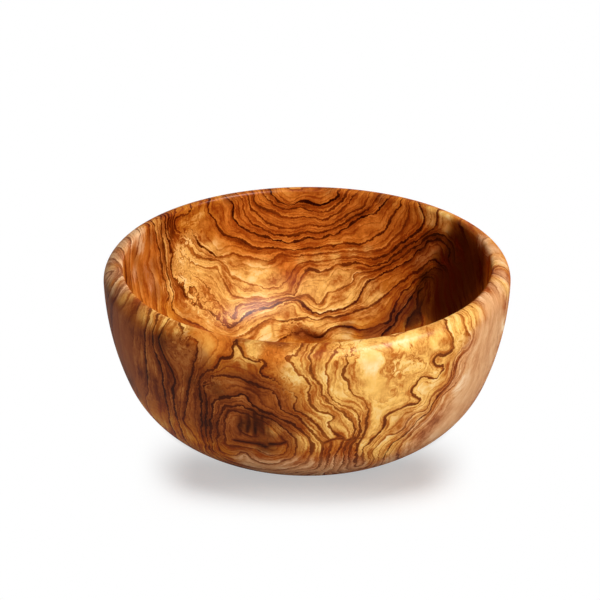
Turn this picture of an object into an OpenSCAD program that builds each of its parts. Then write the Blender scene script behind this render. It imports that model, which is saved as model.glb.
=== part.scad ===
// Salad bowl turned from one block of olive wood.
// The bowl is one revolved wall. Its outside and its inside are each a chain of tangent arcs,
// and they meet over the rim in a broad outer round and a tight inner edge.
// Millimetres, +Z up, origin on the bowl's axis at the middle of its foot.

/* [Outside] */
// Diameter at the widest place, just under the rim
bowl_d = 250; // [235:1:270]
// Height from the foot to the crest of the rim
bowl_h = 105; // [97:1:112]
// Diameter of the flat foot that the bowl stands on
foot_d = 162; // [145:1:178]
// Radius of the steep flank below the widest place, seen in section
flank_r = 178; // [150:1:220]
// Radius of the belly where the wall turns under, seen in section
belly_r = 64; // [56:1:70]
// Radius of the eased edge between belly and foot
foot_edge_r = 12; // [4:1:20]

/* [Rim] */
// Radius of the rim's broad outer round
rim_outer_r = 9.5; // [6:0.5:13]
// Radius of the rim's tight inner edge
rim_inner_r = 2.5; // [1:0.5:4]

/* [Inside] */
// Radius of the inner flank below the rim, seen in section
inner_flank_r = 175; // [150:1:220]
// Radius of the bend from the inner flank to the floor, seen in section
inner_belly_r = 52; // [44:1:60]
// Radius of the gently dished floor, seen in section
floor_r = 800; // [500:10:1200]
// Thickness of the floor in the middle
floor_t = 13; // [8:0.5:18]

/* [Hidden] */
$fn = 180;

// Length that reaches past the section and past every arc
reach = bowl_d + bowl_h + flank_r + inner_flank_r + floor_r;

// The outside turns into the rim at its widest place, and the rim turns into the inside at the mouth
crest_r = bowl_d / 2 - rim_outer_r;
wide_z = bowl_h - rim_outer_r;
mouth_r = crest_r - rim_inner_r;
mouth_z = bowl_h - rim_inner_r;

// Centre of an arc of radius r that touches circles (a, ra) and (b, rb) from within.
// Of the two such centres this is the one farther from the axis.
function tangent_centre(a, ra, b, rb, r) =
    let (
        gap = norm(b - a),
        dir = (b - a) / gap,
        along = ((ra - r) ^ 2 - (rb - r) ^ 2 + gap ^ 2) / (2 * gap),
        aside = sqrt((ra - r) ^ 2 - along ^ 2)
    )
    a + along * dir + aside * sign(dir.y) * [dir.y, -dir.x];

// Height at which the circle of radius r round c touches the smaller circle round inner_c
function touch_z(c, r, inner_c) = c.y + r * (inner_c.y - c.y) / norm(inner_c - c);

// Arcs of the outside, from the rim down to the foot
flank_c = [bowl_d / 2 - flank_r, wide_z];
foot_edge_c = [foot_d / 2, foot_edge_r];
belly_c = tangent_centre(flank_c, flank_r, foot_edge_c, foot_edge_r, belly_r);
flank_low_z = touch_z(flank_c, flank_r, belly_c);
belly_low_z = touch_z(belly_c, belly_r, foot_edge_c);

// Arcs of the inside, from the rim down to the floor
inner_flank_c = [mouth_r - inner_flank_r, mouth_z];
floor_c = [0, floor_t + floor_r];
inner_belly_c = tangent_centre(inner_flank_c, inner_flank_r, floor_c, floor_r, inner_belly_r);
inner_flank_low_z = touch_z(inner_flank_c, inner_flank_r, inner_belly_c);
floor_high_z = touch_z(floor_c, floor_r, inner_belly_c);

// Moves by whole millimetres, then thousandths, then the rest, so that arcs meet without a step
module place(p) {
    whole = [for (v = p) floor(v)];
    fine = [for (v = p - whole) floor(v * 1000) / 1000];
    translate(whole)
        translate(fine)
            translate(p - whole - fine)
                children();
}

// Layer of the section, from height low to height high, outwards from the axis
module layer(low, high) {
    intersection() {
        place([0, low])
            square(reach);
        place([0, high])
            mirror([0, 1])
                square(reach);
    }
}

// Half of a disc of radius r round c: side 1 is its outer half, side -1 its inner half
module half_disc(c, r, side) {
    place(c)
        intersection() {
            circle(r);
            translate([(side - 1) / 2 * reach, -reach])
                square([reach, 2 * reach]);
        }
}

// All that an arc of radius r round c encloses towards the axis, from height low to height high
module arc_layer(c, r, low, high) {
    intersection() {
        layer(low, high);
        union() {
            half_disc(c, r, 1);
            place(c)
                translate([-reach, -r])
                    square([reach, 2 * reach]);
        }
    }
}

// Section of the rim above the widest place, still solid inwards of it
module rim_section() {
    intersection() {
        layer(wide_z, reach);
        half_disc([crest_r, wide_z], rim_outer_r, 1);
    }
    intersection() {
        layer(mouth_z, reach);
        half_disc([crest_r, mouth_z], rim_inner_r, -1);
    }
    intersection() {
        layer(wide_z, mouth_z);
        place([crest_r, 0])
            translate([-reach, 0])
                square(reach);
    }
}

// Section of the block after its outside and its rim are turned
module outside_section() {
    arc_layer(foot_edge_c, foot_edge_r, -foot_edge_r, belly_low_z);
    arc_layer(belly_c, belly_r, belly_low_z, flank_low_z);
    arc_layer(flank_c, flank_r, flank_low_z, wide_z);
    rim_section();
}

// Section of the wood that is hollowed out below the mouth
module inside_section() {
    arc_layer(floor_c, floor_r, 0, floor_high_z);
    arc_layer(inner_belly_c, inner_belly_r, floor_high_z, inner_flank_low_z);
    arc_layer(inner_flank_c, inner_flank_r, inner_flank_low_z, mouth_z);
}

// The turned bowl
module bowl() {
    color("#B9742F")
        rotate_extrude()
            difference() {
                outside_section();
                inside_section();
            }
}

bowl();
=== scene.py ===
"""Salad bowl turned from one block of olive wood, with its dark wavy figure and an oiled satin finish."""

import functools
import math

import bpy
import numpy as np
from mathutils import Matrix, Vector
from mathutils.bvhtree import BVHTree


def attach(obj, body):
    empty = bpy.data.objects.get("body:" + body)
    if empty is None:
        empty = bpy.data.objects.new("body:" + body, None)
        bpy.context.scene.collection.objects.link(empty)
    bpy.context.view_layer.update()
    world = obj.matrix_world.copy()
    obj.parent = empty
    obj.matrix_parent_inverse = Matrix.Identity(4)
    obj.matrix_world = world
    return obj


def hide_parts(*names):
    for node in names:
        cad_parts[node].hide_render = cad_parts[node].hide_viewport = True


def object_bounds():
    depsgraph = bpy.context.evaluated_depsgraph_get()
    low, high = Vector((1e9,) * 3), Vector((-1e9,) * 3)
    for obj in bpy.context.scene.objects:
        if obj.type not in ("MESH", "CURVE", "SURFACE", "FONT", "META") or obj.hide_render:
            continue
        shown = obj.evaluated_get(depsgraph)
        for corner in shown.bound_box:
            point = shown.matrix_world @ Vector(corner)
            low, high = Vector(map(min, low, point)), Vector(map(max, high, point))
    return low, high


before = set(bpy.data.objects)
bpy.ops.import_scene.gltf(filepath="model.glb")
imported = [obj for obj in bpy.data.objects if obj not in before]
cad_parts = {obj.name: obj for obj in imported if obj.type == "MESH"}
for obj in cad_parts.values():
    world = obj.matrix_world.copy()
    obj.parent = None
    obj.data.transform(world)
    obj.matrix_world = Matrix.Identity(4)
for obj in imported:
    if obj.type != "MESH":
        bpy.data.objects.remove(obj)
cad_low, cad_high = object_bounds()

MM = 0.001
TINY = 1e-9

# Camera: it stands a metre from a point on the bowl's axis, in front of it and above.
# Pixels are those of a picture of 600 by 600.
PICTURE = 600
AIM = Vector((0, 0, 50 * MM))
CAMERA_DISTANCE = 1.0
CAMERA_RISE = math.radians(27.05)
FOCAL_PIXELS = 1585
AIM_PIXEL = (307.1, 337.1)
SENSOR = 36.0

FORWARD = Vector((0, math.cos(CAMERA_RISE), -math.sin(CAMERA_RISE)))
UPWARD = Vector((0, math.sin(CAMERA_RISE), math.cos(CAMERA_RISE)))
CAMERA_PLACE = AIM - CAMERA_DISTANCE * FORWARD

# Lamps: how many degrees right of the camera and up they hang, their width and height in metres,
# and the level that a white surface renders at where it faces the lamp. The room has such a level too.
LAMPS = {
    "gloss_lamp": (70, 60, (0.8, 0.45), 2.6),
    "back_lamp": (160, 14, (1.0, 0.6), 0.55),
    "overhead_lamp": (0, 86, (0.5, 0.5), 0.85),
    "key_lamp": (28, 42, (1.4, 1.0), 0.84),
    "high_lamp": (62, 65, (1.0, 0.25), 0.34),
}
LAMP_DISTANCE = 1.6
ROOM_LEVEL = 0.12
WHITE = "#FFFFFF"

# Floor, in metres, a hair below the foot so that the two faces don't coincide: its colour for the light
# that it throws back, its colour in the shadow, and its own glow there
FLOOR_SIZE = 12
FLOOR_GAP = 0.1 * MM
FLOOR_PALE = "#EEEEEE"
FLOOR_SHADED = "#C6C6C6"
FLOOR_GLOW = 0.47

# Shadow on the floor: where it starts and stops to fade into white, across the picture,
# along the line of sight from its middle, and close round the foot
SHADOW_ACROSS = (64 * MM, 106 * MM)
SHADOW_MIDDLE = 83 * MM
SHADOW_ALONG = (5 * MM, 58 * MM)
SHADOW_CLOSE = (82 * MM, 98 * MM)

# Section of the bowl: half of its width, its height, the radii of its arcs and the floor's thickness.
# The CAD bowl's round is cut into flats, so the narrower way across keeps this one within it.
HALF_WIDTH = min(cad_high.x, cad_high.y)
HEIGHT = cad_high.z
FOOT_R = 81 * MM
FOOT_EDGE_R = 12 * MM
BELLY_R = 64 * MM
FLANK_R = 178 * MM
RIM_OUTER_R = 9.5 * MM
RIM_INNER_R = 2.5 * MM
INNER_FLANK_R = 175 * MM
INNER_BELLY_R = 52 * MM
FLOOR_R = 800 * MM
FLOOR_THICKNESS = 13 * MM

# Steps along the foot, round each arc from the foot's edge over the rim to the floor, and in a full turn
FOOT_STEPS = 9
ARC_STEPS = (5, 30, 42, 14, 6, 34, 40, 24)
TURN_STEPS = 480
SAME_PLACE = 0.01 * MM

# Dark growth lines of the wood, read along the figure: the number of the growth layer,
# the strength of the line from 0 to 1 and the pixels of the picture that it runs through.
GROWTH_LINES = {
    "back crescent": (1, 1.0, [
        (272, 196), (278, 201), (287, 205), (293, 205), (300, 202), (306, 201), (312, 203), (319, 205),
        (325, 204), (330, 201), (337, 197)]),
    "back second": (2, 0.7, [
        (267, 198), (272, 202), (276, 206), (281, 208), (286, 209), (292, 208), (299, 207)]),
    "back third": (3, 0.8, [
        (254, 200), (257, 205), (262, 208), (273, 211), (279, 214), (282, 216), (294, 218), (303, 216),
        (310, 218), (319, 220), (328, 218), (335, 215), (343, 207), (351, 199)]),
    "back third and a half": (3.5, 0.4, [(273, 218), (286, 222), (300, 222), (315, 220)]),
    "back fourth": (4, 0.8, [
        (249, 202), (250, 208), (257, 213), (264, 221), (270, 224), (281, 228), (294, 229), (300, 227),
        (319, 226), (333, 224), (344, 218), (348, 214), (353, 212), (362, 208)]),
    "back fifth": (5, 0.7, [
        (244, 202), (243, 209), (246, 215), (254, 224), (264, 230), (274, 234), (287, 236), (301, 233),
        (318, 233), (326, 231), (337, 227)]),
    "back sixth": (6, 1.0, [
        (233, 206), (233, 213), (237, 223), (245, 229), (255, 233), (266, 237), (277, 240), (283, 241),
        (297, 241), (309, 237), (326, 236), (341, 230), (351, 223), (361, 217), (368, 215), (379, 209),
        (385, 203)]),
    "back sixth and a half": (6.5, 0.5, [
        (222, 206), (224, 215), (226, 226), (233, 231), (243, 234), (254, 241)]),
    "back seventh": (7, 0.9, [
        (209, 199), (208, 205), (210, 214), (214, 218), (218, 227), (221, 231), (225, 235), (235, 237),
        (244, 242), (249, 245), (258, 248), (271, 248), (283, 250), (295, 251), (305, 249), (319, 248),
        (336, 245), (351, 243), (359, 244), (370, 240), (379, 234), (384, 232), (388, 225), (390, 220),
        (397, 209), (400, 206)]),
    "back eighth, left": (8, 1.0, [
        (190, 210), (187, 214), (177, 218), (175, 221), (175, 230), (181, 233), (186, 231), (191, 233),
        (198, 241), (201, 246), (211, 253), (217, 257)]),
    "back eighth, right": (8, 0.6, [
        (225, 256), (234, 254), (241, 256), (251, 258), (261, 259), (271, 260), (278, 255), (283, 254),
        (295, 256), (310, 255), (328, 253), (350, 252), (368, 252), (382, 249), (387, 247)]),
    "wall foot": (8.5, 0.5, [
        (221, 259), (228, 262), (235, 266), (241, 264), (253, 267), (264, 269), (273, 267)]),
    "floor ninth": (9, 0.5, [(230, 275), (242, 281), (256, 285), (272, 288), (283, 283), (290, 278)]),
    "floor ninth and a half": (9.5, 0.5, [
        (217, 261), (223, 268), (229, 277), (236, 285), (250, 291), (267, 295), (280, 294), (285, 292),
        (295, 282)]),
    "floor tenth": (10, 0.45, [(230, 292), (235, 296), (249, 299), (266, 299), (277, 297), (293, 296)]),
    "right tenth": (10, 0.9, [
        (310, 269), (317, 271), (330, 269), (344, 265), (355, 263), (370, 266), (380, 264), (387, 262),
        (396, 254), (406, 246), (416, 241), (424, 236), (431, 231), (436, 224), (437, 217), (437, 211)]),
    "right ninth": (9, 1.0, [
        (384, 256), (394, 249), (404, 241), (412, 235), (420, 229), (424, 221), (423, 212), (419, 203)]),
    "floor tenth and a half": (10.5, 0.5, [(301, 286), (314, 281), (328, 278), (337, 269)]),
    "floor eleventh, left": (11, 0.6, [(234, 318), (236, 310), (239, 305), (253, 303), (263, 302)]),
    "floor eleventh, right": (11, 0.7, [
        (300, 296), (311, 297), (318, 304), (325, 298), (328, 293), (336, 291), (346, 286), (354, 279),
        (353, 276), (365, 272)]),
    "left twelfth": (12, 1.0, [
        (166, 217), (165, 222), (166, 229), (169, 241), (172, 252), (171, 265), (172, 274), (176, 281),
        (182, 288), (191, 287)]),
    "burl's lower edge": (12, 1.0, [
        (186, 297), (193, 301), (199, 304), (205, 309), (213, 314), (221, 321), (230, 327), (237, 323),
        (243, 318), (251, 312), (265, 308), (278, 303), (291, 299), (297, 299), (304, 306), (312, 311),
        (322, 314), (334, 311), (346, 308), (356, 301), (361, 291), (370, 281), (383, 273), (394, 267),
        (407, 261), (417, 251), (427, 242), (435, 239), (440, 240), (446, 244), (450, 252), (449, 262)]),
    "left thirteenth": (13, 0.9, [
        (161, 216), (161, 231), (163, 245), (165, 259), (167, 274), (171, 286), (172, 301), (172, 306)]),
    "floor thirteenth": (13, 0.9, [
        (286, 321), (298, 319), (310, 317), (326, 317), (341, 316), (355, 311), (367, 308), (377, 302),
        (387, 294), (396, 286), (406, 279), (417, 271), (427, 263), (432, 260), (441, 265), (448, 271)]),
    "left fourteenth": (14, 0.9, [(152, 222), (156, 237), (160, 251), (162, 267), (166, 282), (169, 296)]),
    "floor fourteenth": (14, 1.0, [
        (286, 337), (296, 332), (305, 331), (309, 335), (320, 337), (328, 331), (340, 326), (351, 327),
        (360, 330)]),
    "right fourteenth": (14, 0.95, [
        (390, 321), (394, 310), (397, 301), (404, 291), (413, 283), (424, 276), (432, 269), (441, 268)]),
    "right fifteenth": (15, 1.0, [(383, 334), (390, 327), (397, 316), (406, 305), (412, 296), (416, 291)]),
    "right sixteenth": (16, 0.95, [(426, 280), (418, 292), (417, 299), (421, 315), (423, 321)]),
    "right wall, fifteenth": (15, 0.15, [(433, 290), (432, 302), (434, 312)]),
    "right wall, fourteenth": (14, 0.15, [(443, 284), (442, 298), (446, 312)]),
    "right wall, thirteenth": (13, 0.15, [(450, 284), (452, 298), (456, 309)]),
    "right wall, twelfth": (12, 0.15, [(455, 272), (458, 290), (462, 305)]),
    "right wall, eleventh": (11, 0.15, [(461, 260), (465, 282), (469, 300)]),
    "right wall, tenth": (10, 0.15, [(470, 252), (474, 272), (477, 292)]),
    "right wall, ninth": (9.2, 0.15, [(480, 256), (484, 272), (483, 286)]),
    "right rim, tenth": (9.5, 0.5, [(473, 230), (478, 234)]),
    "right rim, ninth": (8.8, 0.5, [(485, 251), (493, 253), (500, 257)]),
    "right rim, eighth": (8, 0.5, [(494, 273), (501, 276), (506, 280)]),
    "plain left wall": (15, 0.3, [(150, 242), (148, 264), (156, 292)]),
    "plain left wall, upper": (16, 0.3, [(134, 262), (139, 286)]),
    "left rim, fifteenth": (15, 0.85, [(148, 224)]),
    "left rim, sixteenth": (16, 0.85, [(139, 231), (138, 308)]),
    "left rim, seventeenth": (17, 0.85, [(130, 239), (127, 301)]),
    "left rim, eighteenth": (18, 0.85, [(122, 249), (119, 293)]),
    "left rim, nineteenth": (19, 0.85, [(115, 260), (114, 284)]),
    "left rim, twentieth": (20, 0.85, [(112, 272)]),
    "back right eleventh": (11, 0.9, [(433, 235), (441, 235), (448, 240), (454, 250), (455, 261)]),
    "back right ridge": (10.6, 0.3, [(447, 216), (451, 226), (457, 238)]),
    "back right tenth": (10, 0.5, [(460, 222), (466, 238)]),
    "knot core": (6, 0.15, [(250, 424), (258, 430)]),
    "knot, under the shake": (7, 0.6, [(257, 450), (269, 455), (279, 455), (287, 451), (288, 445)]),
    "knot second ring, left": (7, 0.6, [(225, 442), (224, 434), (225, 419), (227, 414), (231, 410)]),
    "knot third ring": (8, 0.78, [
        (219, 448), (219, 435), (219, 421), (222, 413), (231, 407), (243, 406), (253, 411), (268, 417),
        (276, 422), (280, 425), (287, 431), (292, 436), (296, 443), (295, 450), (285, 460), (272, 464),
        (262, 463), (253, 459), (246, 453)]),
    "knot fourth ring": (9, 0.88, [
        (211, 448), (210, 435), (210, 420), (212, 405), (222, 398), (229, 397), (236, 396), (242, 394),
        (246, 396), (250, 402), (253, 406), (259, 410), (267, 413), (275, 416), (281, 420), (288, 422),
        (294, 425), (299, 429), (304, 433), (309, 438), (312, 444), (312, 450)]),
    "knot fifth ring": (10, 0.8, [
        (206, 434), (206, 424), (207, 414), (206, 405), (204, 390), (211, 376), (221, 375), (234, 377),
        (242, 379), (248, 382), (256, 385), (263, 388), (269, 390), (278, 396), (279, 404), (283, 410),
        (291, 414), (298, 417), (303, 423), (307, 427), (312, 433), (318, 438), (322, 444), (323, 451),
        (321, 460), (319, 467)]),
    "tongue, left side": (11, 0.9, [
        (234, 342), (233, 346), (233, 352), (231, 357), (226, 358), (221, 359), (219, 362), (216, 366),
        (213, 370), (205, 373), (201, 377), (200, 392), (201, 402), (202, 412), (203, 424), (203, 435),
        (207, 446)]),
    "tongue, right side": (11, 0.9, [
        (236, 344), (242, 351), (245, 357), (252, 360), (258, 362), (264, 363), (262, 368), (261, 373),
        (265, 377), (271, 378), (278, 382), (283, 386), (288, 392), (294, 394)]),
    "knot sixth ring": (11, 0.8, [(295, 411), (303, 414), (309, 419), (316, 424), (319, 427)]),
    "front left twelfth": (12, 0.8, [
        (197, 347), (196, 356), (194, 364), (192, 373), (190, 382), (188, 391), (187, 401), (185, 411),
        (183, 420)]),
    "front left thirteenth": (13, 0.9, [
        (168, 320), (163, 329), (159, 338), (161, 347), (164, 357), (170, 367), (175, 379), (173, 390),
        (174, 400), (175, 409), (177, 418), (180, 427), (183, 436)]),
    "front left fourteenth": (14, 0.9, [
        (158, 316), (155, 326), (153, 337), (154, 350), (159, 361), (162, 372), (163, 382), (165, 393),
        (167, 404), (169, 414), (170, 423), (175, 432)]),
    "front left fifteenth": (15, 0.9, [
        (150, 311), (147, 322), (145, 335), (145, 350), (146, 362), (147, 374), (148, 385), (146, 397),
        (147, 405)]),
    "left rim, thirteenth and a half": (13.5, 0.8, [(164, 317), (161, 323), (158, 329)]),
    "left rim, twelfth and a half": (12.5, 0.8, [(172, 321), (169, 326), (166, 331)]),
    "left rim, twelfth": (12, 0.9, [(180, 325), (183, 330), (181, 335)]),
    "plain left side": (16, 0.2, [(135, 322), (132, 350), (136, 385)]),
    "plain left edge": (17, 0.1, [(118, 312), (121, 345), (130, 378)]),
    "front twelfth": (12, 0.8, [
        (301, 347), (297, 351), (296, 355), (291, 358), (285, 360), (291, 362), (294, 366), (295, 370),
        (299, 375), (304, 377), (307, 381), (311, 387), (308, 392), (309, 396), (310, 403), (314, 408),
        (322, 412), (331, 415), (333, 418), (329, 421), (330, 427), (334, 433), (341, 436), (344, 438),
        (340, 447), (336, 453), (334, 459)]),
    "front thirteenth": (13, 0.8, [
        (312, 351), (310, 357), (311, 364), (309, 369), (312, 375), (316, 381), (322, 387), (323, 390),
        (321, 394), (325, 397), (328, 402), (333, 405), (338, 409), (344, 412), (346, 416), (352, 420),
        (354, 424), (355, 429), (354, 434), (353, 438), (346, 447), (345, 457), (343, 464)]),
    "front fourteenth": (14, 0.7, [
        (336, 351), (332, 357), (329, 362), (326, 365), (327, 369), (324, 371), (326, 374), (329, 379),
        (327, 383), (327, 389), (328, 394), (332, 400), (337, 404), (344, 406), (351, 408)]),
    "front fifteenth": (15, 0.9, [
        (352, 350), (349, 357), (347, 365), (344, 372), (344, 376), (346, 379), (349, 381), (349, 388),
        (351, 392), (355, 396), (360, 398), (365, 402), (367, 407), (368, 414), (366, 421), (367, 425),
        (364, 432), (363, 437), (359, 443), (358, 447), (357, 453), (356, 460), (355, 466)]),
    "gold middle": (15.8, 0.1, [(377, 385), (402, 366), (372, 358)]),
    "gold curl": (15.5, 0.8, [
        (382, 371), (386, 365), (393, 360), (401, 356), (411, 357), (420, 360), (426, 366), (423, 371),
        (415, 373), (404, 375), (394, 377), (386, 375)]),
    "front right fifteenth": (15, 0.9, [
        (446, 321), (446, 326), (449, 332), (453, 338), (454, 344), (453, 349), (449, 353), (443, 356),
        (436, 357), (435, 363), (438, 366), (444, 368), (440, 373), (438, 377), (430, 378), (420, 379),
        (416, 384), (412, 389), (412, 393), (417, 397), (418, 403), (411, 404), (404, 407), (390, 413),
        (385, 417), (385, 423), (383, 427), (379, 433), (373, 438), (369, 443), (364, 447)]),
    "front right fourteenth": (14, 0.7, [
        (463, 317), (464, 323), (466, 329), (469, 335), (470, 341), (467, 346), (460, 352), (454, 360),
        (453, 367), (451, 377), (447, 384), (440, 389), (433, 395), (429, 404), (427, 410), (417, 413),
        (411, 417), (407, 422), (404, 428), (397, 433), (390, 435), (385, 438), (379, 444), (372, 452)]),
    "right rim, fourteenth and a half": (14.5, 0.6, [(454, 319), (455, 325), (456, 331)]),
    "front right thirteenth": (13, 1.0, [
        (472, 326), (472, 341), (470, 346), (463, 353), (458, 360), (456, 367), (456, 373), (453, 380),
        (449, 385), (439, 395), (434, 402), (430, 410), (424, 416), (417, 421), (412, 428), (406, 434),
        (399, 439), (392, 444), (387, 452), (384, 456)]),
    "front right twelfth": (12, 0.5, [
        (444, 394), (439, 404), (433, 414), (424, 423), (414, 431), (405, 440)]),
    "plain right side": (11, 0.2, [(474, 380), (460, 405), (440, 428), (420, 446)]),
    "plain right flank": (10, 0.15, [(488, 345), (478, 390)]),
    "plain right edge": (9, 0.1, [(500, 310), (497, 345)]),
}

# Short dark streaks, and shakes where the wood opened round the knot as it dried: how dark each is,
# and the pixels along it
SHAKES = {
    "under the knot, left": (1.0, [(234, 440), (244, 442), (253, 443), (260, 444), (266, 447)]),
    "under the knot, right": (1.0, [(270, 444), (280, 444), (286, 442)]),
    "in the knot, first": (0.75, [(247, 414), (249, 422), (247, 432)]),
    "in the knot, second": (0.9, [(254, 413), (256, 421), (255, 436)]),
    "in the knot, third": (0.75, [(262, 417), (261, 424), (263, 433)]),
    "in the knot, fourth": (0.6, [(240, 416), (241, 425), (240, 434)]),
    "in the knot, fifth": (0.4, [(269, 421), (268, 428), (270, 436)]),
    "left rim, first streak": (0.7, [(162, 317), (159, 323), (156, 331)]),
    "left rim, second streak": (0.8, [(170, 321), (166, 327), (163, 333)]),
    "left rim, third streak": (0.6, [(176, 323), (172, 329), (169, 335)]),
    "floor, dark swirl": (1.0, [(296, 334), (303, 331), (309, 335), (320, 337), (327, 332)]),
    "floor, dark arch": (0.95, [(329, 331), (340, 326), (351, 327), (360, 331)]),
    "inside, short": (0.45, [(274, 318), (272, 325), (273, 332), (274, 337)]),
    "beside the knot": (1.0, [(324, 443), (331, 440), (338, 438), (347, 440), (355, 438), (363, 438)]),
}

# How wide a streak is to either side, in millimetres, and how many points each stretch is drawn with
SHAKE_WIDTH = 1.4
SHAKE_POINTS = 12

# How the layers are grown between the lines, in millimetres: how round the cones are, how far the layers
# may miss a point, the unit of their even slope, how steep they are at least across a line, in layers per
# millimetre, and how far beside it they are held up, if the line is stronger than a faint one
CONE_ROUNDING = 1.5
LAYER_SLACK = 0.3
SLOPE_UNIT = 100
LEAST_STEEPNESS = 0.14
SIDE_STEP = 1.3
FAINT_LINE = 0.3

# How strong the lines are: over how many millimetres and how surely a line gives its strength, what it is
# between lines that were read and on sides where none was, and how far from the lines those begin
LINE_REACH = 3.5
LINE_SURENESS = 3
UNREAD_STRENGTH = 0.55
UNSEEN_STRENGTH = 0.9
UNSEEN_AFTER = 20

# Least and most millimetres that a layer may take, and how many points are worked on at once
SPREAD_RANGE = (0.6, 40)
CHUNK = 4000

# Spots on the wood, here and below: a pixel of the picture and a radius in millimetres.
# These are where it is plain, with hardly a line.
PLAIN = [
    ((486, 330), 22), ((484, 365), 20), ((468, 400), 20), ((445, 428), 18), ((499, 312), 14),
    ((120, 325), 20), ((124, 355), 18), ((134, 385), 16), ((430, 290), 6), ((430, 305), 6), ((431, 318), 5),
    ((455, 282), 18), ((470, 268), 16), ((442, 305), 14), ((377, 385), 12), ((146, 252), 6),
    ((146, 275), 6), ((134, 266), 5)]

# Small eyes in the figure
EYES = {
    "burl, left": ((183, 283), 1.0),
    "burl, right": ((204, 297), 1.0),
    "burl, lower": ((220, 311), 1.0),
    "gold, lower": ((393, 391), 1.3),
    "gold, upper": ((414, 364), 1.0),
    "brown, upper": ((188, 345), 1.4),
}

# Where each kind of the wood shows. Some spots also paint light and shade: pale ones along the rim's top,
# dark ones on the left side and the inner right wall.
WOOD_KINDS = {
    # The gold spots along the rim's top are pale wood, and partly painted light where the rim's top faces
    # the lamps
    "gold": [
        ((377, 385), 28), ((405, 358), 22), ((330, 408), 10), ((300, 365), 9), ((244, 353), 7),
        ((440, 335), 16), ((205, 283), 20), ((192, 258), 12), ((255, 316), 18), ((320, 290), 13),
        ((310, 440), 8), ((395, 425), 18), ((274, 430), 5), ((330, 325), 7), ((150, 312), 7),
        ((160, 317), 8), ((170, 321), 8), ((180, 326), 7), ((452, 325), 8), ((463, 318), 8),
        ((472, 309), 7), ((360, 343), 11), ((400, 340), 10), ((300, 260), 4), ((318, 257), 4),
        ((335, 256), 4), ((352, 252), 4), ((368, 249), 4), ((430, 214), 7), ((444, 222), 6),
        ((158, 226), 6), ((163, 242), 6), ((166, 264), 6), ((169, 286), 6), ((496, 262), 6),
        ((504, 287), 7), ((262, 282), 14), ((350, 290), 12), ((300, 310), 10), ((262, 322), 10),
        ((342, 333), 6), ((320, 322), 9), ((365, 300), 10), ((420, 410), 9), ((380, 450), 8),
        ((120, 250), 6), ((114, 266), 6), ((114, 284), 6), ((124, 298), 6), ((240, 348), 4),
        ((254, 345), 5)],
    "russet": [
        ((300, 212), 30), ((350, 215), 26), ((250, 215), 22), ((400, 240), 22), ((130, 262), 18),
        ((150, 250), 14), ((145, 290), 14), ((290, 266), 10), ((215, 340), 8), ((225, 347), 7),
        ((275, 356), 8), ((205, 335), 8)],
    "umber": [
        ((255, 425), 24), ((212, 410), 18), ((150, 375), 26), ((125, 335), 24), ((185, 390), 18),
        ((250, 390), 12), ((147, 346), 11), ((243, 343), 5), ((281, 345), 4), ((271, 343), 3),
        ((136, 256), 8), ((143, 278), 9), ((152, 264), 7), ((155, 292), 6), ((150, 240), 6),
        ((302, 333), 6), ((316, 336), 6), ((345, 329), 5), ((372, 334), 6), ((175, 346), 9),
        ((195, 352), 7), ((108, 305), 16), ((113, 325), 17), ((118, 340), 17), ((124, 365), 17),
        ((386, 328), 6), ((395, 316), 6), ((412, 300), 6), ((404, 312), 5), ((418, 262), 9),
        ((424, 250), 7), ((436, 240), 8), ((230, 197), 5), ((270, 191), 5), ((330, 190), 5),
        ((380, 198), 5)],
    # Dark heartwood in the knot; on the left side and by the inner right wall these spots are also painted
    # shade
    "heart_and_painted_shade": [
        ((252, 420), 9), ((258, 428), 9), ((111, 320), 16), ((120, 352), 17), ((128, 375), 12),
        ((109, 300), 8), ((107, 288), 6), ((206, 420), 6), ((202, 398), 6), ((217, 392), 6),
        ((148, 375), 5), ((265, 446), 6), ((160, 342), 7), ((190, 380), 5), ((246, 426), 5),
        ((425, 290), 7), ((421, 305), 7), ((413, 318), 6), ((428, 275), 6)],
    # Dark red wood on the inner right wall, and partly painted shade where that wall faces away from the
    # lamps
    "ember_and_painted_shade": [
        ((460, 260), 17), ((452, 278), 13), ((466, 285), 20), ((444, 293), 12), ((478, 262), 14),
        ((448, 309), 14), ((462, 243), 10), ((437, 306), 9), ((431, 284), 7), ((443, 268), 9)],
    # The tan spots along the rim's top are pale wood, and partly painted light where the rim's top faces the
    # lamps
    "tan": [
        ((141, 248), 5), ((147, 268), 5), ((150, 284), 5), ((134, 274), 5), ((490, 340), 26),
        ((475, 390), 24), ((438, 432), 20), ((390, 462), 12), ((410, 420), 12), ((300, 470), 12),
        ((262, 466), 12), ((340, 468), 12), ((137, 233), 7), ((129, 240), 7), ((122, 247), 8),
        ((117, 254), 8), ((114, 262), 8), ((113, 270), 8), ((113, 278), 8), ((115, 286), 8),
        ((119, 293), 5), ((480, 240), 6), ((489, 249), 6), ((497, 261), 6), ((502, 274), 6),
        ((501, 288), 6), ((491, 302), 6)],
}

# Where the layers curl as in a burl
BURLS = [
    ((188, 226), 9), ((183, 268), 9), ((200, 300), 9), ((224, 318), 7), ((275, 346), 9), ((350, 345), 8),
    ((286, 385), 8), ((182, 346), 8), ((460, 340), 5), ((212, 385), 7), ((300, 332), 8), ((405, 364), 9),
    ((180, 245), 7)]

# Share of the amber ground that the kinds are laid over, and how sharply each kind ends
GROUND_SHARE = 0.3
KIND_EDGE = 2

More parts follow.
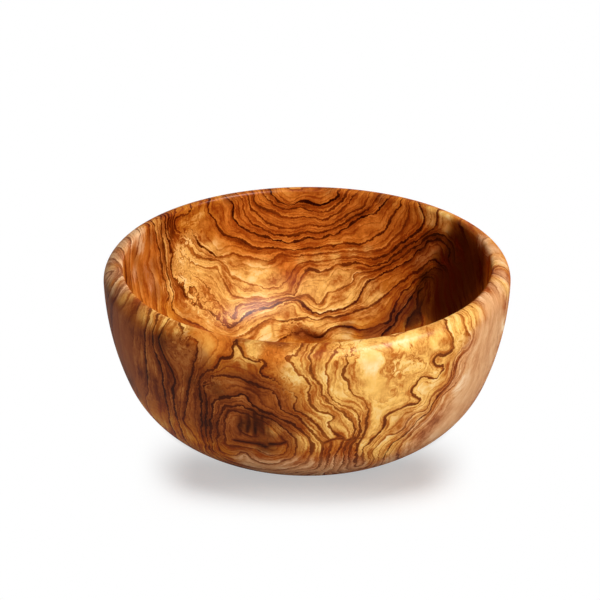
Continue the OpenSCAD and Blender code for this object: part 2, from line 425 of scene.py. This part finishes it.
# Colours of the amber ground and of each kind: the growth lines, then the deep, middle and pale tones,
# and where these stand on the scale of tones
WOOD_COLOURS = {
    "amber": ("#420C00", "#A0460E", "#CE7820", "#F0B44A"),
    "gold": ("#4E1000", "#C26E26", "#FCC466", "#FFE4A8"),
    "russet": ("#260600", "#A2460E", "#D87A28", "#F4AA4C"),
    "umber": ("#200600", "#642608", "#9C4E1C", "#CE8642"),
    # Dark heartwood, also used as painted shade on the left side and by the inner right wall
    "heart_and_painted_shade": ("#120400", "#301000", "#582404", "#824616"),
    # Dark red wood that also paints the shade on the inner right wall
    "ember_and_painted_shade": ("#080000", "#280200", "#420700", "#661A02"),
    "tan": ("#5E2E14", "#BA784A", "#E2AA76", "#FCDAAE"),
}
TONE_STOPS = (0.0, 0.32, 0.62, 1.0)

# How much of its line the plain wood loses, and how far an eye lifts the layers
PLAIN_FADE = 0.85
EYE_LIFT = 0.5

# How the lines sway: over how many millimetres, by how many at most, with how many finer sways,
# and how rough these are
SWAYS = {
    "wander": (7, 1.8, 3.0, 0.62),
    "shiver": (2, 0.9, 1.0, 0.5),
    "swing": (30, 16.0, 2.0, 0.5),
}

# Curls in the burls: their size in millimetres, and by how many layers they move a line at most
CURL_SIZE = 5
CURL_LAYERS = 0.8

# Lines of a layer: how far before the layer's end each stands, and its share of the main line's depth
LINES = ((0.0, 1.0), (0.5, 0.55), (0.27, 0.4), (0.75, 0.35), (0.13, 0.2), (0.63, 0.2))

# Millimetres: a line's least half width, what its strength adds, and how far it fades into the layer.
# Its edge starts and stops to fade at so many half widths: the finest line's, and what a full one adds.
LINE_LEAST = 0.27
LINE_GAIN = 0.48
FADE_REACH = 4.2
LINE_EDGE = ((0.3, 0.5), (0.4, 1.1))

# A line is broader or finer by stretches of so many millimetres, between these times its width
STRETCH = 12
STRETCH_WIDTHS = (0.45, 1.6)

# Shares: how dark the fade starts, what is left of the lines in a burl, and how dark an eye is
FADE_DEPTH = 0.5
BURL_FAINTNESS = 0.55
EYE_DEPTH = 0.7

# Streaks to each layer, and the sizes in millimetres of these, clouds, flecks and fibres, which break up
# the tones, and of the gold and dark patches on the sides where no line was read
STREAKS_PER_LAYER = 2
STREAK_LENGTH = 40
CLOUD_SIZE = 25
FLECK_SIZE = 3
FIBRE_WIDTH = 0.8
FIBRE_LENGTH = 9
PATCH_SIZE = 45

# The streaks' deepest and palest tone, and how much clouds, the seasons of a layer, flecks and fibres
# move it
STREAK_TONES = (0.2, 1.0)
CLOUD_SHARE = 0.5
SEASON_SHARE = 0.18
FLECK_SHARE = 0.35
FIBRE_SHARE = 0.22

# Line strengths of plain and of fully figured wood, and how much contrast and which tone plain wood has
FIGURED = (0.1, 0.4)
PLAIN_CONTRAST = 0.35
PLAIN_TONE = 0.6

# Where the patches' noise turns a kind on, from a trace to its full share, and how ragged kinds end
PATCHES = {"gold": (0.5, 0.62), "umber": (0.46, 0.34)}
PATCH_SHARE = 0.9
RAGGED = 6.0

# How rough the wood is between and along its fibres, and how deep these are
ROUGHNESS = (0.35, 0.5)
GRAIN_DEPTH = 0.15 * MM


def tangent_centre(first, first_r, second, second_r, r):
    """Centre of an arc of radius r that touches two circles from within, on the side away from the axis."""
    gap = (second - first).length
    way = (second - first) / gap
    along = ((first_r - r) ** 2 - (second_r - r) ** 2 + gap**2) / (2 * gap)
    aside = math.sqrt((first_r - r) ** 2 - along**2)
    return first + along * way + aside * math.copysign(1, way.y) * Vector((way.y, -way.x))


def touch(centre, r, inner_centre):
    """Point where the circle of radius r round centre touches the smaller circle round inner_centre."""
    return centre + r * (inner_centre - centre).normalized()


def draw_arc(start, centre, end, steps):
    """Spins the last point of the drawn section round an arc's centre, from start to end."""
    before, after = start - centre, end - centre
    angle = math.atan2(before.x * after.y - before.y * after.x, before.dot(after))
    bpy.ops.mesh.spin(steps=steps, angle=angle, center=(centre.x, 0, centre.y), axis=(0, 1, 0))


def turn_bowl():
    """The bowl: half of its section is drawn as tangent arcs, and a screw turns it round the axis."""
    flank = Vector((HALF_WIDTH - FLANK_R, HEIGHT - RIM_OUTER_R))
    foot_edge = Vector((FOOT_R, FOOT_EDGE_R))
    belly = tangent_centre(flank, FLANK_R, foot_edge, FOOT_EDGE_R, BELLY_R)
    crest_r = HALF_WIDTH - RIM_OUTER_R
    mouth = Vector((crest_r - RIM_INNER_R, HEIGHT - RIM_INNER_R))
    inner_flank = mouth - Vector((INNER_FLANK_R, 0))
    floor = Vector((0, FLOOR_THICKNESS + FLOOR_R))
    inner_belly = tangent_centre(inner_flank, INNER_FLANK_R, floor, FLOOR_R, INNER_BELLY_R)

    # A point on the axis is drawn out to the foot's edge, and then round each arc in turn
    bpy.ops.object.select_all(action="DESELECT")
    bpy.ops.mesh.primitive_plane_add(size=2 * MM)
    bowl = bpy.context.object
    bowl.name = bowl.data.name = "turned_bowl"
    bpy.ops.object.mode_set(mode="EDIT")
    bpy.ops.mesh.select_mode(type="VERT")
    bpy.ops.mesh.select_all(action="SELECT")
    bpy.ops.mesh.merge(type="CENTER")
    for _ in range(FOOT_STEPS):
        bpy.ops.mesh.extrude_region_move(TRANSFORM_OT_translate={"value": (FOOT_R / FOOT_STEPS, 0, 0)})
    arcs = (
        (foot_edge, touch(belly, BELLY_R, foot_edge)),
        (belly, touch(flank, FLANK_R, belly)),
        (flank, Vector((HALF_WIDTH, flank.y))),
        (Vector((crest_r, flank.y)), Vector((crest_r, HEIGHT))),
        (Vector((crest_r, mouth.y)), mouth),
        (inner_flank, touch(inner_flank, INNER_FLANK_R, inner_belly)),
        (inner_belly, touch(floor, FLOOR_R, inner_belly)),
        (floor, Vector((0, FLOOR_THICKNESS))),
    )
    start = Vector((FOOT_R, 0))
    for (centre, end), steps in zip(arcs, ARC_STEPS):
        draw_arc(start, centre, end, steps)
        start = end

    bpy.ops.object.mode_set(mode="OBJECT")
    bpy.ops.object.modifier_add(type="SCREW")
    turning = bowl.modifiers[0]
    turning.steps = turning.render_steps = TURN_STEPS
    turning.use_merge_vertices = True
    turning.merge_threshold = SAME_PLACE
    bpy.ops.object.modifier_apply(modifier=turning.name)
    bpy.ops.object.mode_set(mode="EDIT")
    bpy.ops.mesh.select_all(action="SELECT")
    bpy.ops.mesh.remove_doubles(threshold=SAME_PLACE)
    bpy.ops.mesh.normals_make_consistent(inside=False)
    bpy.ops.object.mode_set(mode="OBJECT")
    bpy.ops.object.shade_smooth()
    return bowl


def on_bowl(pixels, tree):
    """Points of the bowl, in millimetres, that the camera sees at these pixels, and the way they face."""
    points, facing = [], []
    for x, y in pixels:
        aside = float(x - AIM_PIXEL[0]) / FOCAL_PIXELS
        down = float(y - AIM_PIXEL[1]) / FOCAL_PIXELS
        way = FORWARD + aside * Vector((1, 0, 0)) - down * UPWARD
        hit, normal = tree.ray_cast(CAMERA_PLACE, way.normalized())[:2]
        if hit is not None:
            points.append(tuple(hit / MM))
            facing.append(tuple(normal))
    return np.array(points), np.array(facing)


def gaps_between(points, places):
    """Distance from each point to each place."""
    squares = (points**2).sum(axis=1)[:, None] + (places**2).sum(axis=1)[None, :] - 2 * points @ places.T
    return np.sqrt(np.maximum(squares, 0))


def bumps(points, normals, spots, tree):
    """For each point, the sum of smooth bumps that stand on the bowl at these pixels, with these radii.
    A bump stays on its own side of the wall."""
    total = np.zeros(len(points))
    for pixel, radius in spots:
        place, facing = on_bowl([pixel], tree)
        same_side = np.clip(0.5 + normals @ facing[0], 0, 1)
        total += same_side * np.exp(-((gaps_between(points, place)[:, 0] / radius) ** 2))
    return total


def fit_layers(places, layers):
    """Heights of rounded cones on the places, and an even slope below them, that add up to the layers."""
    known = len(places)
    cones = np.hypot(gaps_between(places, places), CONE_ROUNDING) - LAYER_SLACK * np.eye(known)
    slope = np.hstack([np.ones((known, 1)), places / SLOPE_UNIT])
    terms = slope.shape[1]
    system = np.block([[cones, slope], [slope.T, np.zeros((terms, terms))]])
    return np.linalg.solve(system, np.concatenate([layers, np.zeros(terms)]))


def layers_at(points, places, shares):
    """The growth layer at each point, and how it climbs there, per millimetre."""
    cones, slope = shares[:len(places)], shares[len(places) + 1:] / SLOPE_UNIT
    layer, climb = np.empty(len(points)), np.empty((len(points), 3))
    for start in range(0, len(points), CHUNK):
        part = slice(start, start + CHUNK)
        reach = np.hypot(gaps_between(points[part], places), CONE_ROUNDING)
        layer[part] = reach @ cones + shares[len(places)] + points[part] @ slope
        pull = cones / reach
        climb[part] = points[part] * pull.sum(axis=1, keepdims=True) - pull @ places + slope
    return layer, climb


def read_lines(tree):
    """The growth lines' points on the bowl, with each one's layer, strength and the way across the line."""
    places, layers, strengths, across = [], [], [], []
    for layer, strength, pixels in GROWTH_LINES.values():
        found, facing = on_bowl(pixels, tree)
        places.append(found)
        layers += [layer] * len(found)
        strengths += [strength] * len(found)
        run = np.gradient(found, axis=0) if len(found) > 1 else np.zeros((1, 3))
        aside = np.cross(facing, run)
        across.append(aside / np.maximum(np.linalg.norm(aside, axis=1, keepdims=True), TINY))
    return np.vstack(places), np.array(layers), np.array(strengths), np.vstack(across)


def hold_up(places, layers, strengths, across):
    """Adds points on both sides of a line where the layers lie too flat to show it thin."""
    steep = (layers_at(places, places, fit_layers(places, layers))[1] * across).sum(axis=1)
    flat = (np.abs(steep) < LEAST_STEEPNESS) & (strengths > FAINT_LINE)
    rise = np.where(steep < 0, -1, 1)[flat] * LEAST_STEEPNESS * SIDE_STEP
    more_places = [places[flat] + side * SIDE_STEP * across[flat] for side in (-1, 1)]
    more_layers = [layers[flat] + side * rise for side in (-1, 1)]
    return np.vstack([places, *more_places]), np.concatenate([layers, *more_layers])


def line_strengths(points, places, strengths):
    """How strong a growth line is at each point, and how far off those that were read are, from 0 to 1."""
    strong, unseen = np.empty(len(points)), np.empty(len(points))
    for start in range(0, len(points), CHUNK):
        part = slice(start, start + CHUNK)
        gaps = gaps_between(points[part], places)
        weights = np.exp(-((gaps / LINE_REACH) ** 2))
        total = weights.sum(axis=1)
        sure = 1 - np.exp(-LINE_SURENESS * total)
        unseen[part] = 1 - np.exp(-((gaps.min(axis=1) / UNSEEN_AFTER) ** 2))
        unread = UNREAD_STRENGTH + (UNSEEN_STRENGTH - UNREAD_STRENGTH) * unseen[part]
        strong[part] = sure * (weights @ strengths) / (total + TINY) + (1 - sure) * unread
    return strong, unseen


def grow_wood(bowl):
    """Grows the wood's layers through the block, so that they run along the growth lines, and keeps
    them on the bowl's points: layer, millimetres per layer, line strength, shakes, eyes, burls and kinds."""
    mesh = bowl.data
    tree = BVHTree.FromPolygons([v.co for v in mesh.vertices], [p.vertices for p in mesh.polygons])
    count = len(mesh.vertices)
    points, normals = np.empty(count * 3), np.empty(count * 3)
    mesh.vertices.foreach_get("co", points)
    mesh.vertex_normals.foreach_get("vector", normals)
    points, normals = points.reshape(-1, 3) / MM, normals.reshape(-1, 3)

    places, layers, strengths, across = read_lines(tree)
    held, held_layers = hold_up(places, layers, strengths, across)
    growth, slope = layers_at(points, held, fit_layers(held, held_layers))
    slope -= (slope * normals).sum(axis=1, keepdims=True) * normals
    spread = np.clip(1 / np.maximum(np.linalg.norm(slope, axis=1), TINY), *SPREAD_RANGE)
    strong, unseen = line_strengths(points, places, strengths)
    strong *= 1 - PLAIN_FADE * np.minimum(bumps(points, normals, PLAIN, tree), 1)

    shaken = np.zeros(count)
    for depth, pixels in SHAKES.values():
        ends = np.array(pixels, float)
        run = np.concatenate([np.linspace(a, b, SHAKE_POINTS) for a, b in zip(ends[:-1], ends[1:])])
        gaps = gaps_between(points, on_bowl(run, tree)[0]).min(axis=1)
        shaken = np.maximum(shaken, depth * np.exp(-((gaps / SHAKE_WIDTH) ** 2)))

    # An eye lifts the layers over twice its own radius, so that the lines bend round it
    eyes = np.zeros(count)
    for pixel, radius in EYES.values():
        eyes = np.maximum(eyes, bumps(points, normals, [(pixel, radius)], tree))
        growth += EYE_LIFT * bumps(points, normals, [(pixel, 2 * radius)], tree)

    keep = {"growth": growth, "spread": spread, "strength": strong, "shake": shaken, "unseen": unseen,
            "eye": eyes, "burl": np.minimum(bumps(points, normals, BURLS, tree), 1)}
    # Each kind is laid over those before it, so its share is of what is laid so far
    laid = GROUND_SHARE**KIND_EDGE
    for kind, spots in WOOD_KINDS.items():
        share = bumps(points, normals, spots, tree) ** KIND_EDGE
        laid = laid + share
        keep[kind] = share / laid
    for name, values in keep.items():
        mesh.attributes.new(name, "FLOAT", "POINT").data.foreach_set("value", values.astype(np.float32))


def linear(colour):
    """A colour written as sRGB hex, as the linear red, green, blue and alpha that a shader takes."""
    parts = [int(colour[i:i + 2], 16) / 255 for i in (1, 3, 5)]
    return [p / 12.92 if p <= 0.04045 else ((p + 0.055) / 1.055) ** 2.4 for p in parts] + [1.0]


def add_node(tree, kind, inputs=(), **settings):
    """Adds a node with its settings, and sets or links its inputs, by name or in their order.
    A node given as an input stands for its first output."""
    made = tree.nodes.new("ShaderNode" + kind)
    for name, value in settings.items():
        setattr(made, name, value)
    for socket, value in inputs.items() if isinstance(inputs, dict) else enumerate(inputs):
        if isinstance(value, bpy.types.Node):
            value = value.outputs[0]
        if isinstance(value, bpy.types.NodeSocket):
            tree.links.new(value, made.inputs[socket])
        else:
            made.inputs[socket].default_value = value
    return made


def start_nodes(owner):
    """Empties the node tree of a material or world, and returns what adds nodes to it."""
    owner.use_nodes = True
    owner.node_tree.nodes.clear()
    return functools.partial(add_node, owner.node_tree)


def swaying_layer(add, place, grown):
    """The growth layer, with the lines' sway: they wander by about a millimetre and shiver by less, swing
    by several where none was read, and curl in the burls."""
    sways = {}
    for name, (size, most, detail, rough) in SWAYS.items():
        sway = add("TexNoise", {"Vector": place, "Scale": 1 / size, "Detail": detail, "Roughness": rough})
        sways[name] = add("MapRange", {"Value": sway, "To Min": -most, "To Max": most})
    moved = add("Math", [sways["wander"], sways["shiver"]], operation="ADD")
    moved = add("Math", [sways["swing"], grown["unseen"], moved], operation="MULTIPLY_ADD")
    moved = add("Math", [moved, grown["spread"]], operation="DIVIDE")
    layer = add("Math", [grown["growth"], moved], operation="ADD")
    curl = add("TexNoise", {"Vector": place, "Scale": 1 / CURL_SIZE, "Detail": 2.0, "Distortion": 1.2})
    curl = add("MapRange", {"Value": curl, "From Min": 0.25, "From Max": 0.75,
                            "To Min": -CURL_LAYERS, "To Max": CURL_LAYERS})
    return add("Math", [curl, grown["burl"], layer], operation="MULTIPLY_ADD")


def dark_lines(add, place, grown, layer):
    """How dark the growth lines, shakes and eyes are. A line ends each layer and finer ones lie within it,
    each sharp on one side and fading on the other, and broader or finer by stretches."""
    patchy = add("TexNoise", {"Vector": place, "Scale": 1 / STRETCH, "Detail": 2.0})
    patchy = add("MapRange", {"Value": patchy, "From Min": 0.3, "From Max": 0.7,
                              "To Min": STRETCH_WIDTHS[0], "To Max": STRETCH_WIDTHS[1]})
    width = add("Math", [grown["strength"], LINE_GAIN, LINE_LEAST], operation="MULTIPLY_ADD")
    width = add("Math", [width, patchy], operation="MULTIPLY")
    # The fade reaches half a layer at most
    reach = add("Math", [grown["spread"], 0.5], operation="MULTIPLY")
    reach = add("Math", [reach, FADE_REACH], operation="MINIMUM")
    depth = add("Math", [patchy, FADE_DEPTH], operation="MULTIPLY")
    line = grown["shake"]
    for shift, share in LINES:
        own = add("Math", [layer, shift], operation="ADD")
        whole = add("Math", [own], operation="ROUND")
        off = add("Math", [own, whole], operation="SUBTRACT")
        off = add("Math", [off, grown["spread"]], operation="MULTIPLY")
        beside = add("Math", [off], operation="ABSOLUTE")
        beside = add("Math", [beside, width], operation="DIVIDE")
        start, stop = (finest + more * share for finest, more in LINE_EDGE)
        edge = add("MapRange", {"Value": beside, "From Min": start, "From Max": stop,
                                "To Min": 1.0, "To Max": 0.0}, interpolation_type="SMOOTHSTEP")
        fade = add("MapRange", {"Value": off, "From Max": reach, "To Min": depth, "To Max": 0.0})
        after = add("Math", [off, 0.0], operation="GREATER_THAN")
        fade = add("Math", [fade, after], operation="MULTIPLY")
        dark = add("Math", [edge, fade], operation="MAXIMUM")
        dark = add("Math", [dark, grown["strength"]], operation="MULTIPLY")
        dark = add("Math", [dark, share], operation="MULTIPLY")
        line = add("Math", [line, dark], operation="MAXIMUM")
    faint = add("MapRange", {"Value": grown["burl"], "To Min": 1.0, "To Max": BURL_FAINTNESS})
    line = add("Math", [line, faint], operation="MULTIPLY")
    eye = add("Math", [grown["eye"], EYE_DEPTH], operation="MULTIPLY")
    return add("Math", [line, eye], operation="MAXIMUM", use_clamp=True)


def layer_streaks(add, place, layer):
    """Streaks that run along the layers, some to each layer, with finer ones in them."""
    along = add("SeparateXYZ", {"Vector": place}).outputs
    drift = [add("Math", [along[axis], 1 / STREAK_LENGTH], operation="MULTIPLY") for axis in "XZ"]
    run = add("CombineXYZ", {"X": layer, "Y": drift[0], "Z": drift[1]})
    return add("TexNoise", {"Vector": run, "Scale": STREAKS_PER_LAYER, "Detail": 4.0, "Roughness": 0.65})


def wood_tone(add, place, grown, layer, line, streak, fibre):
    """The tone of the wood, from 0 in a growth line to 1 where it is palest. Each layer is darker where it
    starts and paler where it ends, and where the lines are faint the wood is plain all over."""
    season = add("Math", [layer], operation="FRACT")
    cloud = add("TexNoise", {"Vector": place, "Scale": 1 / CLOUD_SIZE, "Detail": 2.0})
    fleck = add("TexNoise", {"Vector": place, "Scale": 1 / FLECK_SIZE, "Detail": 3.0, "Distortion": 1.0})
    tone = add("MapRange", {"Value": streak, "From Min": 0.28, "From Max": 0.72,
                            "To Min": STREAK_TONES[0], "To Max": STREAK_TONES[1]})
    parts = ((cloud, CLOUD_SHARE), (season, SEASON_SHARE), (fleck, FLECK_SHARE), (fibre, FIBRE_SHARE))
    for part, share in parts:
        part = add("Math", [part, 0.5], operation="SUBTRACT")
        tone = add("Math", [part, share, tone], operation="MULTIPLY_ADD", use_clamp=True)
    figured = add("MapRange", {"Value": grown["strength"], "To Min": PLAIN_CONTRAST, "To Max": 1.0,
                               "From Min": FIGURED[0], "From Max": FIGURED[1]})
    tone = add("Math", [tone, PLAIN_TONE], operation="SUBTRACT")
    tone = add("Math", [tone, figured, PLAIN_TONE], operation="MULTIPLY_ADD")
    light = add("Math", [1.0, line], operation="SUBTRACT")
    return add("Math", [tone, light], operation="MULTIPLY")


def wood_colour(add, place, grown, tone, streak):
    """The colour of the wood: its kinds laid over the amber ground, each with its own tones. On the sides
    where no line was read, patches turn gold or dark."""
    shares = {kind: grown[kind] for kind in WOOD_KINDS}
    patch = add("TexNoise", {"Vector": place, "Scale": 1 / PATCH_SIZE, "Detail": 2.0})
    for kind, (trace, full) in PATCHES.items():
        more = add("MapRange", {"Value": patch, "From Min": trace, "From Max": full, "To Max": PATCH_SHARE})
        more = add("Math", [more, grown["unseen"]], operation="MULTIPLY")
        shares[kind] = add("Math", [more, shares[kind]], operation="MAXIMUM")
    ragged = add("MapRange", {"Value": streak, "To Min": -RAGGED, "To Max": RAGGED})
    colour = None
    for kind, tones in WOOD_COLOURS.items():
        ramp = add("ValToRGB", {"Fac": tone})
        stops = ramp.color_ramp.elements
        while len(stops) < len(tones):
            stops.new(0.5)
        for stop, where, tint in zip(stops, TONE_STOPS, tones):
            stop.position, stop.color = where, linear(tint)
        if colour is None:
            colour = ramp
            continue
        # The edge of each kind runs in and out with the streaks, so it follows the layers
        other = add("Math", [1.0, shares[kind]], operation="SUBTRACT")
        edge = add("Math", [other, shares[kind]], operation="MULTIPLY")
        share = add("Math", [ragged, edge, shares[kind]], operation="MULTIPLY_ADD", use_clamp=True)
        colour = add("Mix", {"Factor": share, 6: colour, 7: ramp}, data_type="RGBA").outputs[2]
    return colour


def oiled_olive_wood():
    """Olive wood, turned, sanded and oiled. The eye gets a warm gold to dark brown ground, dark wavy growth
    lines that are sharp on one side and fade on the other, finer streaks between them, and the soft satin
    sheen of a thin film of oil, which the fibres break a little."""
    wood = bpy.data.materials.new("oiled_olive_wood")
    add = start_nodes(wood)
    place = add("TexCoord").outputs["Object"]
    place = add("Mapping", {"Vector": place, "Scale": (1 / MM, 1 / MM, 1 / MM)})
    grown = {
        name: add("Attribute", attribute_name=name).outputs["Fac"]
        for name in ("growth", "spread", "strength", "shake", "unseen", "eye", "burl", *WOOD_KINDS)
    }
    layer = swaying_layer(add, place, grown)
    line = dark_lines(add, place, grown, layer)
    streak = layer_streaks(add, place, layer)
    # Fibres stand upright in the block, and are drawn about a millimetre wide so that they show
    fibre = add("Mapping", {"Vector": place, "Scale": (1 / FIBRE_WIDTH, 1 / FIBRE_WIDTH, 1 / FIBRE_LENGTH)})
    fibre = add("TexNoise", {"Vector": fibre, "Scale": 1.0, "Detail": 2.0})
    tone = wood_tone(add, place, grown, layer, line, streak, fibre)
    colour = wood_colour(add, place, grown, tone, streak)
    rough = add("MapRange", {"Value": fibre, "To Min": ROUGHNESS[0], "To Max": ROUGHNESS[1]})
    grain = add("Bump", {"Height": fibre, "Strength": 0.12, "Distance": GRAIN_DEPTH})
    shader = add("BsdfPrincipled", {
        "Base Color": colour, "Roughness": rough, "Normal": grain, "Specular IOR Level": 0.0,
        "Coat Weight": 0.11, "Coat Roughness": 0.27, "Coat IOR": 1.5, "Coat Normal": grain})
    add("OutputMaterial", {"Surface": shader})
    return wood


def seen_itself(add):
    """1 for rays that show a surface itself, to the camera, in a sheen or through glass, and else 0."""
    rays = add("LightPath").outputs
    seen = add("Math", [rays["Is Camera Ray"], rays["Is Glossy Ray"]], operation="MAXIMUM")
    return add("Math", [seen, rays["Is Transmission Ray"]], operation="MAXIMUM")


def lay_floor():
    """A pale floor that the camera sees as white, with the bowl's shadow on it."""
    bpy.ops.object.select_all(action="DESELECT")
    bpy.ops.mesh.primitive_plane_add(size=FLOOR_SIZE, location=(0, 0, -FLOOR_GAP))
    floor = bpy.context.object
    floor.name = "floor"
    pale = bpy.data.materials.new("pale_floor")
    add = start_nodes(pale)
    spot = add("TexCoord").outputs["Object"]
    parts = add("SeparateXYZ", {"Vector": spot}).outputs
    across = add("Math", [parts["X"]], operation="ABSOLUTE")
    along = add("Math", [parts["Y"]], operation="ABSOLUTE")
    along = add("Math", [along, SHADOW_MIDDLE], operation="SUBTRACT")
    along = add("Math", [along], operation="ABSOLUTE")
    close = add("VectorMath", [spot], operation="LENGTH").outputs["Value"]
    across, along, close = (
        add("MapRange", {"Value": way, "From Min": start, "From Max": stop,
                         "To Min": 1.0, "To Max": 0.0}, interpolation_type="SMOOTHSTEP")
        for way, (start, stop) in ((across, SHADOW_ACROSS), (along, SHADOW_ALONG), (close, SHADOW_CLOSE))
    )
    shade = add("Math", [across, along], operation="MULTIPLY")
    shade = add("Math", [shade, close], operation="MAXIMUM")
    matt = add("BsdfDiffuse", {"Color": linear(FLOOR_PALE)})
    glow = add("Emission", {"Color": linear(WHITE), "Strength": FLOOR_GLOW})
    shaded = add("BsdfDiffuse", {"Color": linear(FLOOR_SHADED)})
    shaded = add("AddShader", [shaded, glow])
    white = add("Emission", {"Color": linear(WHITE), "Strength": 1.0})
    shown = add("MixShader", [shade, white, shaded])
    both = add("MixShader", [seen_itself(add), matt, shown])
    add("OutputMaterial", {"Surface": both})
    floor.data.materials.append(pale)
    return floor


def hang_lamp(name, turn, rise, size, level):
    """A soft lamp of this width and height, which shines at the bowl from turn degrees right of the camera
    and rise degrees up. A white surface that faces it renders at this level."""
    turn, rise = math.radians(turn), math.radians(rise)
    way = Vector((math.sin(turn) * math.cos(rise), -math.cos(turn) * math.cos(rise), math.sin(rise)))
    bpy.ops.object.light_add(type="AREA", location=AIM + LAMP_DISTANCE * way)
    lamp = bpy.context.object
    lamp.name = name
    lamp.data.shape = "RECTANGLE"
    lamp.data.size, lamp.data.size_y = size
    lamp.data.energy = level * (math.pi * LAMP_DISTANCE) ** 2
    lamp.rotation_euler = (-way).to_track_quat("-Z", "Y").to_euler()
    return lamp


def light_room(bowl, floor):
    """A white room with soft lamps: the overhead one for the floor and its shadow, the others for the bowl.
    The gloss lamp shows only in the sheen, on the front of the rim, and the back lamp never does."""
    world = bpy.data.worlds.new("white_room")
    bpy.context.scene.world = world
    add = start_nodes(world)
    strength = add("MapRange", {"Value": seen_itself(add), "To Min": ROOM_LEVEL, "To Max": 1.0})
    room = add("Background", {"Color": linear(WHITE), "Strength": strength})
    add("OutputWorld", {"Surface": room})
    for name, hung in LAMPS.items():
        lamp = hang_lamp(name, *hung)
        lamp.visible_diffuse = name != "gloss_lamp"
        lamp.visible_glossy = name != "back_lamp"
        lit = bpy.data.collections.new(name + "_lights")
        lit.objects.link(floor if name == "overhead_lamp" else bowl)
        lamp.light_linking.receiver_collection = lit


def set_camera():
    """The camera, at the place from which the figure's pixels were read."""
    bpy.ops.object.camera_add(location=CAMERA_PLACE)
    camera = bpy.context.object
    camera.name = "camera"
    camera.rotation_euler = FORWARD.to_track_quat("-Z", "Y").to_euler()
    camera.data.sensor_width = SENSOR
    camera.data.lens = SENSOR * FOCAL_PIXELS / PICTURE
    camera.data.shift_x = 0.5 - AIM_PIXEL[0] / PICTURE
    camera.data.shift_y = AIM_PIXEL[1] / PICTURE - 0.5
    bpy.context.scene.camera = camera


bowl = turn_bowl()
grow_wood(bowl)
bowl.data.materials.append(oiled_olive_wood())
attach(bowl, "root")
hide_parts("bowl")
floor = lay_floor()
light_room(bowl, floor)
set_camera()
bpy.context.scene.view_settings.view_transform = "Standard"
